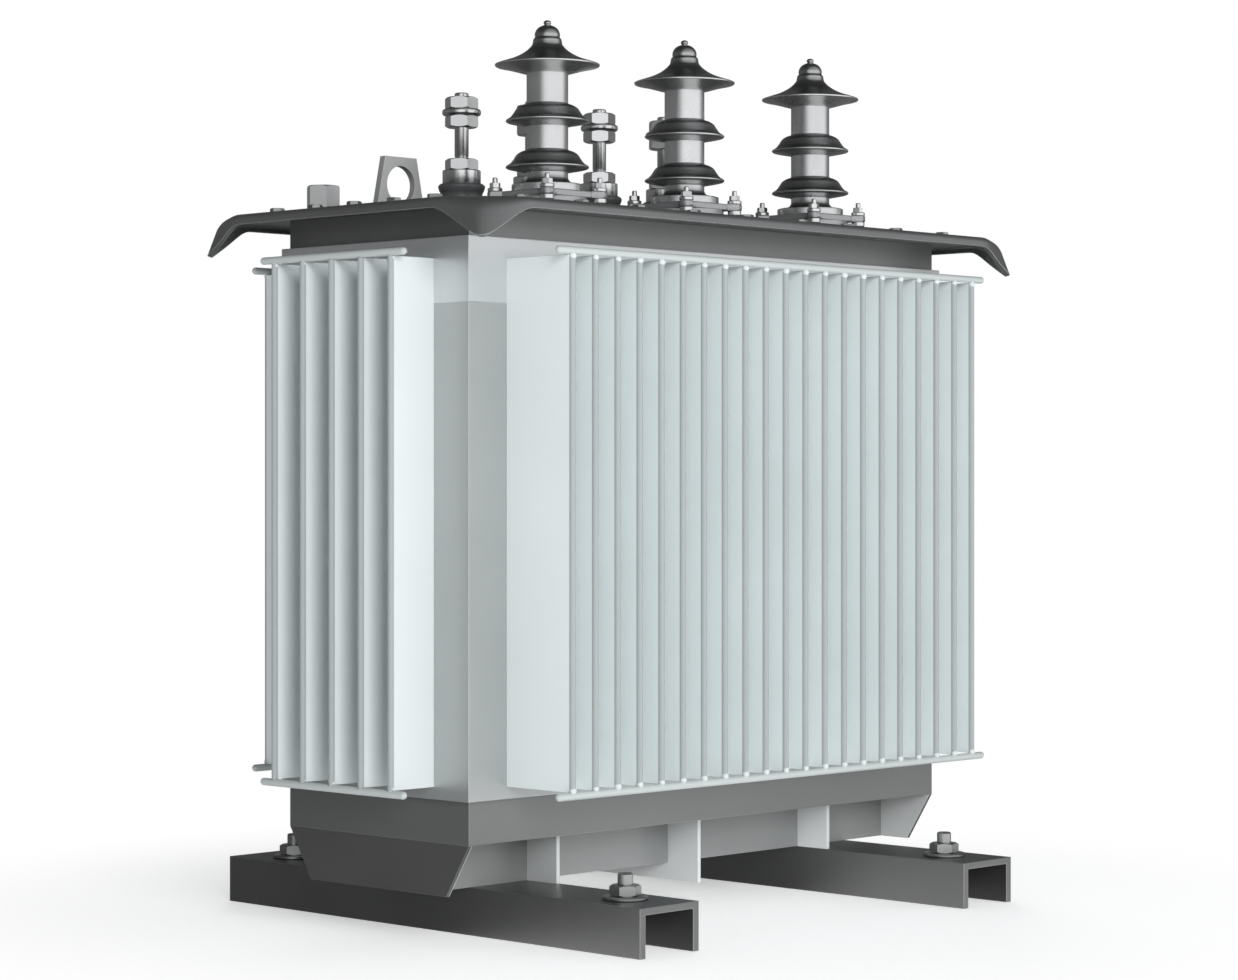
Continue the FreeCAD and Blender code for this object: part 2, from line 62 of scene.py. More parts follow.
surround = bpy.data.worlds.new("surround")
surround.use_nodes = True
nodes, links = surround.node_tree.nodes, surround.node_tree.links
nodes.clear()
seen = nodes.new("ShaderNodeBackground")
seen.inputs["Color"].default_value = (1, 1, 1, 1)
lit = nodes.new("ShaderNodeBackground")
lit.inputs["Color"].default_value = (0.97, 0.985, 1, 1)
mirrored = nodes.new("ShaderNodeBackground")
mirrored.inputs["Color"].default_value = (0.98, 0.99, 1, 1)
towards = nodes.new("ShaderNodeTexCoord")
upward = nodes.new("ShaderNodeSeparateXYZ")
links.new(towards.outputs["Generated"], upward.inputs[0])
overhead = nodes.new("ShaderNodeMapRange")
overhead.inputs["From Min"].default_value = 0.10
overhead.inputs["From Max"].default_value = 0.75
overhead.inputs["To Min"].default_value = 1.0
overhead.inputs["To Max"].default_value = 0.34
links.new(upward.outputs["Z"], overhead.inputs["Value"])
AHEAD = (-0.087, -0.996, 0)
AHEAD_SPAN = (0.1, 0.72)


def brightness_by_direction(nodes, links, direction, brightest, span, dim, bright):
    """A value that rises from dim to bright as the direction turns towards the brightest one."""
    facing = nodes.new("ShaderNodeVectorMath")
    facing.operation = "DOT_PRODUCT"
    facing.inputs[1].default_value = brightest
    ahead = nodes.new("ShaderNodeMapRange")
    ahead.interpolation_type = "SMOOTHSTEP"
    ahead.inputs["From Min"].default_value, ahead.inputs["From Max"].default_value = span
    ahead.inputs["To Min"].default_value, ahead.inputs["To Max"].default_value = dim, bright
    links.new(direction, facing.inputs[0])
    links.new(facing.outputs["Value"], ahead.inputs["Value"])
    return ahead.outputs["Result"]


for background, brightest, span, dim, bright in ((lit, (0.15, -0.985, 0), (-0.9, 1.0), 0.22, 0.62),
                                                 (mirrored, AHEAD, AHEAD_SPAN, 0.17, 1.3)):
    strength = nodes.new("ShaderNodeMath")
    strength.operation = "MULTIPLY"
    links.new(brightness_by_direction(nodes, links, towards.outputs["Generated"], brightest, span, dim, bright),
              strength.inputs[0])
    links.new(overhead.outputs["Result"], strength.inputs[1])
    links.new(strength.outputs[0], background.inputs["Strength"])
eye = nodes.new("ShaderNodeLightPath")
unseen = nodes.new("ShaderNodeMixShader")
either = nodes.new("ShaderNodeMixShader")
sky = nodes.new("ShaderNodeOutputWorld")
links.new(eye.outputs["Is Glossy Ray"], unseen.inputs[0])
links.new(lit.outputs[0], unseen.inputs[1])
links.new(mirrored.outputs[0], unseen.inputs[2])
links.new(eye.outputs["Is Camera Ray"], either.inputs[0])
links.new(unseen.outputs[0], either.inputs[1])
links.new(seen.outputs[0], either.inputs[2])
links.new(either.outputs[0], sky.inputs["Surface"])
scene.world = surround


def soft_light(name, azimuth, distance, height, width, tall, power):
    """An upright soft light, aimed at the middle of the tank and unseen in reflections.

    Azimuth 0 is in front of the long side."""
    lamp = bpy.data.lights.new(name, "AREA")
    lamp.shape = "RECTANGLE"
    lamp.size, lamp.size_y, lamp.energy = width, tall, power
    holder = bpy.data.objects.new(name, lamp)
    turn = math.radians(azimuth)
    holder.location = (distance * math.sin(turn), -distance * math.cos(turn), height)
    aim = Vector((0, 0, 0.6)) - holder.location
    holder.rotation_euler = aim.to_track_quat("-Z", "Y").to_euler()
    holder.visible_glossy = False
    scene.collection.objects.link(holder)


soft_light("corner_light", -30, 5.4, 2.1, 2.2, 2.4, 200)
soft_light("long_side_panel", 42, 5.6, 1.5, 3.4, 4.0, 45)
soft_light("short_side_panel", -118, 6.0, 1.6, 2.0, 3.0, 5)
soft_light("back_light", 140, 5.8, 2.6, 2.6, 2.2, 120)

floor_mesh = bmesh.new()
bmesh.ops.create_circle(floor_mesh, cap_ends=True, segments=96, radius=14)
floor_data = bpy.data.meshes.new("floor")
floor_mesh.to_mesh(floor_data)
floor_mesh.free()
floor = bpy.data.objects.new("floor", floor_data)
scene.collection.objects.link(floor)
pale = bpy.data.materials.new("pale_floor")
pale.use_nodes = True
nodes, links = pale.node_tree.nodes, pale.node_tree.links
where = nodes.new("ShaderNodeTexCoord")
reach = nodes.new("ShaderNodeVectorMath")
reach.operation = "LENGTH"
fade = nodes.new("ShaderNodeMapRange")
fade.interpolation_type = "SMOOTHSTEP"
fade.inputs["From Min"].default_value = 0.40
fade.inputs["From Max"].default_value = 1.2
glow = nodes.new("ShaderNodeEmission")
blend = nodes.new("ShaderNodeMixShader")
matt = nodes["Principled BSDF"]
matt.inputs["Base Color"].default_value = (0.93, 0.935, 0.94, 1)
matt.inputs["Roughness"].default_value = 0.6
matt.inputs["Emission Color"].default_value = (1, 1, 1, 1)
matt.inputs["Emission Strength"].default_value = 0.44
links.new(where.outputs["Object"], reach.inputs[0])
links.new(reach.outputs["Value"], fade.inputs["Value"])
links.new(fade.outputs["Result"], blend.inputs[0])
links.new(matt.outputs[0], blend.inputs[1])
links.new(glow.outputs[0], blend.inputs[2])
compass = nodes.new("ShaderNodeVectorMath")
compass.operation = "NORMALIZE"
dimmed = nodes.new("ShaderNodeEmission")
eye = nodes.new("ShaderNodeLightPath")
unseen = nodes.new("ShaderNodeMixShader")
links.new(where.outputs["Object"], compass.inputs[0])
links.new(brightness_by_direction(nodes, links, compass.outputs[0], AHEAD, AHEAD_SPAN, 0.12, 1.1),
          dimmed.inputs["Strength"])
links.new(eye.outputs["Is Glossy Ray"], unseen.inputs[0])
links.new(blend.outputs[0], unseen.inputs[1])
links.new(dimmed.outputs[0], unseen.inputs[2])
links.new(unseen.outputs[0], nodes["Material Output"].inputs["Surface"])
floor_data.materials.append(pale)


# ---------------------------------------------------------------- skid channels
# Two rolled steel channels, open side down, cut square and drilled for the holding bolts.
# They are sprayed dark grey; the inside is painted near black as painted shade, and the cut edges get a painted
# highlight.
def shader_group(name, inputs, outputs):
    """An empty shader group with its sockets, and its two end nodes."""
    tree = bpy.data.node_groups.new(name, "ShaderNodeTree")
    for label, kind, value in inputs:
        socket = tree.interface.new_socket(name=label, in_out="INPUT", socket_type=kind)
        socket.default_value = value
    for label, kind in outputs:
        tree.interface.new_socket(name=label, in_out="OUTPUT", socket_type=kind)
    return tree, tree.nodes.new("NodeGroupInput"), tree.nodes.new("NodeGroupOutput")


COLOUR, NUMBER, ARROW = "NodeSocketColor", "NodeSocketFloat", "NodeSocketVector"
paint_coat, given, made = shader_group("paint_coat", [
    ("Colour", COLOUR, (0.5, 0.5, 0.5, 1)), ("Edge Colour", COLOUR, (0.7, 0.7, 0.7, 1)),
    ("Edge Amount", NUMBER, 0.6), ("Edge Radius", NUMBER, 0.0015), ("Cloudiness", NUMBER, 0.06),
    ("Roughness", NUMBER, 0.4), ("Orange Peel", NUMBER, 0.12),
], [("Colour", COLOUR), ("Roughness", NUMBER), ("Normal", ARROW)])
nodes, links = paint_coat.nodes, paint_coat.links
where = nodes.new("ShaderNodeTexCoord")
cloud = nodes.new("ShaderNodeTexNoise")
cloud.inputs["Scale"].default_value = 4.5
cloud.inputs["Detail"].default_value = 4
skin = nodes.new("ShaderNodeTexNoise")
skin.inputs["Scale"].default_value = 520
skin.inputs["Detail"].default_value = 1.5
links.new(where.outputs["Object"], cloud.inputs["Vector"])
links.new(where.outputs["Object"], skin.inputs["Vector"])
centred = nodes.new("ShaderNodeMath")
centred.operation = "SUBTRACT"
centred.inputs[1].default_value = 0.5
links.new(cloud.outputs[0], centred.inputs[0])
swing = nodes.new("ShaderNodeMath")
swing.operation = "MULTIPLY_ADD"
swing.inputs[2].default_value = 1.0
links.new(centred.outputs[0], swing.inputs[0])
cloud_depth = nodes.new("ShaderNodeMath")
cloud_depth.operation = "MULTIPLY"
cloud_depth.inputs[1].default_value = 4.0
links.new(given.outputs["Cloudiness"], cloud_depth.inputs[0])
links.new(cloud_depth.outputs[0], swing.inputs[1])
clouded = nodes.new("ShaderNodeVectorMath")
clouded.operation = "SCALE"
links.new(given.outputs["Colour"], clouded.inputs[0])
links.new(swing.outputs[0], clouded.inputs["Scale"])
rounded = nodes.new("ShaderNodeBevel")
rounded.samples = 4
links.new(given.outputs["Edge Radius"], rounded.inputs["Radius"])
face = nodes.new("ShaderNodeNewGeometry")
turned_away = nodes.new("ShaderNodeVectorMath")
turned_away.operation = "DOT_PRODUCT"
links.new(rounded.outputs[0], turned_away.inputs[0])
links.new(face.outputs["Normal"], turned_away.inputs[1])
# Towards rounded edges the colour turns to the Edge Colour: a painted highlight on most pieces, painted shade
# on the fins.
edge = nodes.new("ShaderNodeMapRange")
edge.inputs["From Min"].default_value = 0.995
edge.inputs["From Max"].default_value = 0.82
links.new(turned_away.outputs["Value"], edge.inputs["Value"])
edge_tone_share = nodes.new("ShaderNodeMath")
edge_tone_share.operation = "MULTIPLY"
links.new(edge.outputs["Result"], edge_tone_share.inputs[0])
links.new(given.outputs["Edge Amount"], edge_tone_share.inputs[1])
painted_edge_tone = nodes.new("ShaderNodeMix")
painted_edge_tone.data_type = "RGBA"
links.new(edge_tone_share.outputs[0], painted_edge_tone.inputs["Factor"])
links.new(clouded.outputs[0], painted_edge_tone.inputs["A"])
links.new(given.outputs["Edge Colour"], painted_edge_tone.inputs["B"])
patchy = nodes.new("ShaderNodeMath")
patchy.operation = "MULTIPLY_ADD"
patchy.inputs[1].default_value = 0.22
links.new(centred.outputs[0], patchy.inputs[0])
links.new(given.outputs["Roughness"], patchy.inputs[2])
peel = nodes.new("ShaderNodeBump")
peel.inputs["Distance"].default_value = 0.0004
links.new(given.outputs["Orange Peel"], peel.inputs["Strength"])
links.new(skin.outputs[0], peel.inputs["Height"])
links.new(rounded.outputs[0], peel.inputs["Normal"])
links.new([o for o in painted_edge_tone.outputs if o.type == "RGBA"][0], made.inputs["Colour"])
links.new(patchy.outputs[0], made.inputs["Roughness"])
links.new(peel.outputs[0], made.inputs["Normal"])


def painted(name, metallic, **values):
    """A sprayed finish: the paint coat group with this piece's own values. Its edge colour is painted along
    rounded edges: a painted highlight where it is lighter than the colour, painted shade where it is darker.
    """
    material = bpy.data.materials.new(name)
    material.use_nodes = True
    tree = material.node_tree
    coat = tree.nodes.new("ShaderNodeGroup")
    coat.node_tree = paint_coat
    for label, value in values.items():
        coat.inputs[label.replace("_", " ").title()].default_value = value
    shader = tree.nodes["Principled BSDF"]
    shader.inputs["Metallic"].default_value = metallic
    tree.links.new(coat.outputs["Colour"], shader.inputs["Base Color"])
    tree.links.new(coat.outputs["Roughness"], shader.inputs["Roughness"])
    tree.links.new(coat.outputs["Normal"], shader.inputs["Normal"])
    return material


region, given, made = shader_group("region", [
    ("Low", ARROW, (-1, -1, -1)), ("High", ARROW, (3, 3, 3)),
], [("Mask", NUMBER)])
nodes, links = region.nodes, region.links
where = nodes.new("ShaderNodeTexCoord")
unsigned = nodes.new("ShaderNodeVectorMath")
unsigned.operation = "ABSOLUTE"
links.new(where.outputs["Object"], unsigned.inputs[0])
split = []
for source in (unsigned.outputs[0], given.outputs["Low"], given.outputs["High"]):
    parts = nodes.new("ShaderNodeSeparateXYZ")
    links.new(source, parts.inputs[0])
    split.append(parts)
inside = None
for axis in "XYZ":
    for limit, test in ((split[1], "GREATER_THAN"), (split[2], "LESS_THAN")):
        within = nodes.new("ShaderNodeMath")
        within.operation = test
        links.new(split[0].outputs[axis], within.inputs[0])
        links.new(limit.outputs[axis], within.inputs[1])
        if inside:
            both = nodes.new("ShaderNodeMath")
            both.operation = "MULTIPLY"
            links.new(inside, both.inputs[0])
            links.new(within.outputs[0], both.inputs[1])
            inside = both.outputs[0]
        else:
            inside = within.outputs[0]
links.new(inside, made.inputs["Mask"])


def second_tone_in_region(material, low, high, colour, metallic):
    """Lays a second tone where |x|, |y| and |z| lie between low and high; used for painted shade and painted
    light.
    """
    tree = material.node_tree
    coat = [node for node in tree.nodes if node.type == "GROUP"][0]
    shader = tree.nodes["Principled BSDF"]
    mask = tree.nodes.new("ShaderNodeGroup")
    mask.node_tree = region
    mask.inputs["Low"].default_value = low
    mask.inputs["High"].default_value = high
    tone = tree.nodes.new("ShaderNodeMix")
    tone.data_type = "RGBA"
    tone.inputs["A"].default_value = coat.inputs["Colour"].default_value
    tone.inputs["B"].default_value = colour
    metal = tree.nodes.new("ShaderNodeMapRange")
    metal.inputs["To Min"].default_value = shader.inputs["Metallic"].default_value
    metal.inputs["To Max"].default_value = metallic
    tree.links.new(mask.outputs["Mask"], tone.inputs["Factor"])
    tree.links.new(mask.outputs["Mask"], metal.inputs["Value"])
    tree.links.new([o for o in tone.outputs if o.type == "RGBA"][0], coat.inputs["Colour"])
    tree.links.new(metal.outputs["Result"], shader.inputs["Metallic"])


def finish_nodes(material, *names):
    for name in names:
        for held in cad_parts[name].material_slots:
            held.material = material


skid_paint = painted("skid_paint", 0.88, colour=(0.190, 0.192, 0.192, 1), edge_colour=(0.55, 0.56, 0.56, 1),
                     edge_amount=0.8, edge_radius=0.002, cloudiness=0.10, roughness=0.40, orange_peel=0.25)
skid_low, skid_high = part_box("skid_right")
HALF_PLATE, CUT_END, ANYWHERE = 0.004, 0.001, 3
# The inside of each channel is painted near black: painted shade.
second_tone_in_region(skid_paint, (skid_low.x + HALF_PLATE, -1, -1),
          (skid_high.x - HALF_PLATE, skid_high.y - CUT_END, skid_high.z - HALF_PLATE),
          (0.03, 0.03, 0.03, 1), 0.3)
finish_nodes(skid_paint, "skid_left", "skid_right")


# ---------------------------------------------------------------- skid bolts
# Zinc-plated studs with a broad washer and a full nut, drawn down on the web of each channel.
# Turned from bar and plated bright, with the faint frosting of the zinc left to show.
def ring(radius, z, steps=48):
    """A level circle of points."""
    turns = [2 * math.pi * step / steps for step in range(steps)]
    return [Vector((radius * math.cos(turn), radius * math.sin(turn), z)) for turn in turns]


def hexagon_ring(across_corners, z, cut, up, steps=72):
    """One edge of a hexagon whose corners are cut back by a shallow cone."""
    flat = across_corners / 2 * math.cos(math.pi / 6)
    points = []
    for step in range(steps):
        turn = 2 * math.pi * step / steps
        radius = flat / math.cos((turn % (math.pi / 3)) - math.pi / 6)
        lift = max(0.0, radius - flat * cut) * math.tan(math.radians(30))
        points.append(Vector((radius * math.cos(turn), radius * math.sin(turn), z - up * lift)))
    return points


def nut(across_corners, low, high):
    """The rings of a nut or bolt head with both faces chamfered."""
    flat = across_corners / 2 * math.cos(math.pi / 6)
    return [ring(flat * 0.97, low, 72), hexagon_ring(across_corners, low, 0.97, -1),
            hexagon_ring(across_corners, high, 0.97, 1), ring(flat * 0.97, high, 72)]


def disc(radius, low, high, ease=0.0012, steps=48):
    """The rings of a round piece with its two edges eased."""
    return [ring(radius - ease, low, steps), ring(radius, low + ease, steps),
            ring(radius, high - ease, steps), ring(radius - ease, high, steps)]


def skinned(name, shells, sharp=32):
    """A mesh object from shells, each a list of rings that are joined and capped."""
    shape = bmesh.new()
    for rings in shells:
        rows = [[shape.verts.new(point) for point in points] for points in rings]
        for lower, upper in zip(rows, rows[1:]):
            for step, vertex in enumerate(lower):
                after = (step + 1) % len(lower)
                shape.faces.new((vertex, lower[after], upper[after], upper[step]))
        shape.faces.new(list(reversed(rows[0])))
        shape.faces.new(rows[-1])
    bmesh.ops.remove_doubles(shape, verts=shape.verts, dist=1e-6)
    bmesh.ops.recalc_face_normals(shape, faces=shape.faces)
    mesh = bpy.data.meshes.new(name)
    shape.to_mesh(mesh)
    shape.free()
    mesh.polygons.foreach_set("use_smooth", [True] * len(mesh.polygons))
    mesh.set_sharp_from_angle(angle=math.radians(sharp))
    piece = bpy.data.objects.new(name, mesh)
    scene.collection.objects.link(piece)
    return piece


def made_plain(piece):
    """Turns what the modifiers make into the piece's own mesh."""
    seen_now = piece.evaluated_get(bpy.context.evaluated_depsgraph_get())
    mesh = bpy.data.meshes.new_from_object(seen_now)
    piece.modifiers.clear()
    piece.data = mesh
    return piece


set_out = bpy.data.node_groups.new("set_out", "GeometryNodeTree")
for label, kind in (("Places", "NodeSocketGeometry"), ("Piece", "NodeSocketObject"), ("Size", NUMBER),
                    ("Size Spread", NUMBER), ("Turn Spread", NUMBER), ("Seed", "NodeSocketInt"),
                    ("Finish", "NodeSocketMaterial")):
    set_out.interface.new_socket(name=label, in_out="INPUT", socket_type=kind)
set_out.interface.new_socket(name="Set", in_out="OUTPUT", socket_type="NodeSocketGeometry")
nodes, links = set_out.nodes, set_out.links
given = nodes.new("NodeGroupInput")
made = nodes.new("NodeGroupOutput")
pattern = nodes.new("GeometryNodeObjectInfo")
links.new(given.outputs["Piece"], pattern.inputs["Object"])
low_turn = nodes.new("ShaderNodeMath")
low_turn.operation = "MULTIPLY"
low_turn.inputs[1].default_value = -1.0
links.new(given.outputs["Turn Spread"], low_turn.inputs[0])
turn = nodes.new("FunctionNodeRandomValue")
turn.data_type = "FLOAT"
links.new(low_turn.outputs[0], turn.inputs["Min"])
links.new(given.outputs["Turn Spread"], turn.inputs["Max"])
links.new(given.outputs["Seed"], turn.inputs["Seed"])
about = nodes.new("ShaderNodeCombineXYZ")
links.new(turn.outputs["Value"], about.inputs["Z"])
smallest = nodes.new("ShaderNodeMath")
smallest.operation = "SUBTRACT"
links.new(given.outputs["Size"], smallest.inputs[0])
links.new(given.outputs["Size Spread"], smallest.inputs[1])
largest = nodes.new("ShaderNodeMath")
largest.operation = "ADD"
links.new(given.outputs["Size"], largest.inputs[0])
links.new(given.outputs["Size Spread"], largest.inputs[1])
size = nodes.new("FunctionNodeRandomValue")
size.data_type = "FLOAT"
links.new(smallest.outputs[0], size.inputs["Min"])
links.new(largest.outputs[0], size.inputs["Max"])
links.new(given.outputs["Seed"], size.inputs["Seed"])
spots = nodes.new("GeometryNodeInstanceOnPoints")
links.new(given.outputs["Places"], spots.inputs["Points"])
links.new(pattern.outputs["Geometry"], spots.inputs["Instance"])
links.new(about.outputs[0], spots.inputs["Rotation"])
links.new(size.outputs["Value"], spots.inputs["Scale"])
real = nodes.new("GeometryNodeRealizeInstances")
dressed = nodes.new("GeometryNodeSetMaterial")
links.new(spots.outputs[0], real.inputs[0])
links.new(real.outputs[0], dressed.inputs["Geometry"])
links.new(given.outputs["Finish"], dressed.inputs["Material"])
links.new(dressed.outputs[0], made.inputs[0])


def repeated(name, pattern_piece, places, finish, size=1.0, size_spread=0.0, turn_spread=0.0, seed=1):
    """Copies of one piece at the places, as one plain mesh."""
    mesh = bpy.data.meshes.new(name)
    mesh.from_pydata(places, [], [])
    piece = bpy.data.objects.new(name, mesh)
    scene.collection.objects.link(piece)
    rule = piece.modifiers.new("set_out", "NODES")
    rule.node_group = set_out
    values = {"Piece": pattern_piece, "Size": size, "Size Spread": size_spread,
              "Turn Spread": turn_spread, "Seed": seed, "Finish": finish}
    for item in set_out.interface.items_tree:
        if item.in_out == "INPUT" and item.name in values:
            rule[item.identifier] = values[item.name]
    made_plain(piece)
    bpy.data.objects.remove(pattern_piece)
    return piece


zinc_plate, given, made = shader_group("zinc_plate", [
    ("Colour", COLOUR, (0.62, 0.63, 0.63, 1)), ("Frost", NUMBER, 0.05), ("Roughness", NUMBER, 0.28),
    ("Ripple", NUMBER, 0.06),
], [("Colour", COLOUR), ("Roughness", NUMBER), ("Normal", ARROW)])
nodes, links = zinc_plate.nodes, zinc_plate.links
where = nodes.new("ShaderNodeTexCoord")
spangle = nodes.new("ShaderNodeTexVoronoi")
spangle.inputs["Scale"].default_value = 420
links.new(where.outputs["Object"], spangle.inputs["Vector"])
grey = nodes.new("ShaderNodeRGBToBW")
links.new(spangle.outputs["Color"], grey.inputs[0])
centred = nodes.new("ShaderNodeMath")
centred.operation = "SUBTRACT"
centred.inputs[1].default_value = 0.5
links.new(grey.outputs[0], centred.inputs[0])
swing = nodes.new("ShaderNodeMath")
swing.operation = "MULTIPLY_ADD"
swing.inputs[2].default_value = 1.0
links.new(centred.outputs[0], swing.inputs[0])
links.new(given.outputs["Frost"], swing.inputs[1])
frosted = nodes.new("ShaderNodeVectorMath")
frosted.operation = "SCALE"
links.new(given.outputs["Colour"], frosted.inputs[0])
links.new(swing.outputs[0], frosted.inputs["Scale"])
patchy = nodes.new("ShaderNodeMath")
patchy.operation = "MULTIPLY_ADD"
patchy.inputs[1].default_value = 0.03
links.new(centred.outputs[0], patchy.inputs[0])
links.new(given.outputs["Roughness"], patchy.inputs[2])
drawn = nodes.new("ShaderNodeTexNoise")
drawn.inputs["Scale"].default_value = 160
drawn.inputs["Detail"].default_value = 1
links.new(where.outputs["Object"], drawn.inputs["Vector"])
ripple = nodes.new("ShaderNodeBump")
ripple.inputs["Distance"].default_value = 0.0004
links.new(given.outputs["Ripple"], ripple.inputs["Strength"])
links.new(drawn.outputs[0], ripple.inputs["Height"])
links.new(frosted.outputs[0], made.inputs["Colour"])
links.new(patchy.outputs[0], made.inputs["Roughness"])
links.new(ripple.outputs[0], made.inputs["Normal"])


def plated(name, **values):
    """Bright zinc with this piece's own values."""
    material = bpy.data.materials.new(name)
    material.use_nodes = True
    tree = material.node_tree
    zinc = tree.nodes.new("ShaderNodeGroup")
    zinc.node_tree = zinc_plate
    for label, value in values.items():
        zinc.inputs[label.replace("_", " ").title()].default_value = value
    shader = tree.nodes["Principled BSDF"]
    shader.inputs["Metallic"].default_value = 1.0
    tree.links.new(zinc.outputs["Colour"], shader.inputs["Base Color"])
    tree.links.new(zinc.outputs["Roughness"], shader.inputs["Roughness"])
    tree.links.new(zinc.outputs["Normal"], shader.inputs["Normal"])
    return material


bolt_low, bolt_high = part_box("skid_bolts")
skid_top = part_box("skid_left")[1].z
head_low = bolt_low.z - skid_top
stud_top = bolt_high.z - skid_top
skid_bolt = skinned("skid_bolt_pattern", [
    disc(0.030, 0.0, 0.005), nut(0.042, 0.005, 0.019), nut(0.042, head_low, head_low + 0.012),
    [ring(0.010, head_low + 0.002), ring(0.010, stud_top - 0.0015), ring(0.0085, stud_top)]])
bolt_x = (bolt_high.x - 0.030, bolt_low.x + 0.030)
bolt_y = (bolt_high.y - 0.030, bolt_low.y + 0.030)
skid_zinc = plated("skid_zinc", colour=(0.42, 0.424, 0.424, 1), roughness=0.34)
skid_bolts = repeated("skid_bolts_plated", skid_bolt, [(x, y, skid_top) for x in bolt_x for y in bolt_y],
                      skid_zinc, turn_spread=0.5, seed=3)
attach(skid_bolts, "root")
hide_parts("skid_bolts")

# ---------------------------------------------------------------- underframe
# Steel plates on edge under the tank floor: one across each end, two along, short ribs over
# the skids and a deep one in the middle. The end plates are dark outside, and their inner faces
# are painted light grey as painted light; the ribs are painted light grey as painted light, and
# the long plates a darker middle grey as painted shade under the tank.
end_paint = painted("end_paint", 0.72, colour=(0.170, 0.170, 0.172, 1), edge_colour=(0.34, 0.35, 0.35, 1),
                    edge_amount=0.7, edge_radius=0.0015, cloudiness=0.08, roughness=0.42, orange_peel=0.2)
end_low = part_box("base_end_plate_right")[0]
INNER_SKIN = 0.001
# The inner faces of the end plates are painted light grey: painted light.
second_tone_in_region(end_paint, (-1, -1, -1), (end_low.x + INNER_SKIN, ANYWHERE, ANYWHERE), (0.75, 0.77, 0.77, 1), 0.1)
finish_nodes(end_paint, "base_end_plate_left", "base_end_plate_right")
# The ribs are painted lighter than the long plates: painted light.
rib_paint = painted("rib_paint", 0.1, colour=(0.700, 0.721, 0.721, 1), edge_colour=(0.8, 0.82, 0.82, 1),
                    edge_amount=0.8, edge_radius=0.0012, cloudiness=0.08, roughness=0.36, orange_peel=0.15)
finish_nodes(rib_paint, "base_mid_plate", "base_ribs_left", "base_ribs_right")
# The long plates are painted darker: painted shade under the tank.
long_paint = painted("long_paint", 0.2, colour=(0.280, 0.288, 0.288, 1), edge_colour=(0.7, 0.72, 0.72, 1),
                     edge_amount=0.8, edge_radius=0.0012, cloudiness=0.08, roughness=0.36, orange_peel=0.15)
finish_nodes(long_paint, "base_long_plate_front", "base_long_plate_back")

# ---------------------------------------------------------------- tank
# A folded floor tray, a wall box welded round it, a lighter collar and the dark neck that
# carries the lid. Sheet steel, welded along the corners and sprayed.
tray_paint = painted("tray_paint", 0.62, colour=(0.205, 0.211, 0.209, 1), edge_colour=(0.55, 0.57, 0.57, 1),
                     edge_amount=0.7, edge_radius=0.0015, cloudiness=0.06, roughness=0.38, orange_peel=0.15)
finish_nodes(tray_paint, "tank_floor_tray")
wall_paint = painted("wall_paint", 0.68, colour=(0.460, 0.476, 0.476, 1), edge_colour=(0.8, 0.82, 0.82, 1),
                     edge_amount=0.8, edge_radius=0.0018, cloudiness=0.05, roughness=0.36, orange_peel=0.12)
finish_nodes(wall_paint, "tank_wall_box")
collar_paint = painted("collar_paint", 0.8, colour=(0.680, 0.700, 0.707, 1), edge_colour=(0.88, 0.9, 0.9, 1),
                       edge_amount=0.8, edge_radius=0.0018, cloudiness=0.04, roughness=0.36, orange_peel=0.12)
finish_nodes(collar_paint, "tank_wall_collar")
neck_paint = painted("neck_paint", 0.85, colour=(0.280, 0.283, 0.283, 1), edge_colour=(0.34, 0.35, 0.35, 1),
                     edge_amount=0.5, edge_radius=0.0015, cloudiness=0.10, roughness=0.40, orange_peel=0.15)
finish_nodes(neck_paint, "tank_neck")

# ---------------------------------------------------------------- cooling fins
# Thin sheet folded into deep hollow pleats and seam welded at top and foot.
# Sprayed a pale mint white; the rounded noses and edges are painted darker as painted shade, and the fins on
# the short sides take a darker copy of the paint as painted shade.
NOSE_DEPTH = 0.0058
weld_paint = painted("weld_paint", 0.0, colour=(0.66, 0.71, 0.71, 1), edge_colour=(0.7, 0.76, 0.76, 1),
                     edge_amount=0.3, edge_radius=0.0012, cloudiness=0.025, roughness=0.40, orange_peel=0.10)
rod_paint = painted("rod_paint", 0.0, colour=(0.50, 0.54, 0.54, 1), edge_colour=(0.6, 0.65, 0.65, 1),
                    edge_amount=0.3, edge_radius=0.0012, cloudiness=0.025, roughness=0.40, orange_peel=0.10)
for side in ("front", "back", "left", "right"):
    low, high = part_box("fins_" + side)
    along_y = side in ("front", "back")
    tip = {"front": -low.y, "back": high.y, "left": -low.x, "right": high.x}[side]
    # The fins on the short sides get a darker copy of the same paint: painted shade.
    pale = (0.77, 0.83, 0.835, 1) if along_y else (0.70, 0.75, 0.755, 1)
    nose = tip - NOSE_DEPTH
    fin_paint = painted("fin_paint_" + side, 0.0, colour=pale, edge_colour=(0.52, 0.56, 0.56, 1),
                        edge_amount=0.3, edge_radius=0.0012, cloudiness=0.025, roughness=0.48,
                        orange_peel=0.10)
    # The noses get a darker tone: painted shade.
    second_tone_in_region(fin_paint, (-1, nose, -1) if along_y else (nose, -1, -1), (ANYWHERE, ANYWHERE, ANYWHERE),
              (0.36, 0.39, 0.395, 1), 0.0)
    finish_nodes(fin_paint, "fins_" + side)


# ---------------------------------------------------------------- fin rods and tip welds
# Round bars across the fin tips keep them in line, one along the top ends and one along
# the feet. Their ends are rounded, and each fin is tacked to them with a blob of weld.
def rod(start, end, radius, steps=20):
    """The rings of a bar with domed ends."""
    along = (end - start).normalized()
    side = along.orthogonal().normalized()
    other = along.cross(side)
    bends = [math.radians(angle) for angle in (8, 30, 52, 74, 90)]
    stops = [(start + along * radius * (1 - math.cos(bend)), radius * math.sin(bend)) for bend in bends]
    stops += [(end - along * radius * (1 - math.cos(bend)), radius * math.sin(bend))
              for bend in reversed(bends)]
    turns = [2 * math.pi * step / steps for step in range(steps)]
    return [[centre + (side * math.cos(turn) + other * math.sin(turn)) * size for turn in turns]
            for centre, size in stops]


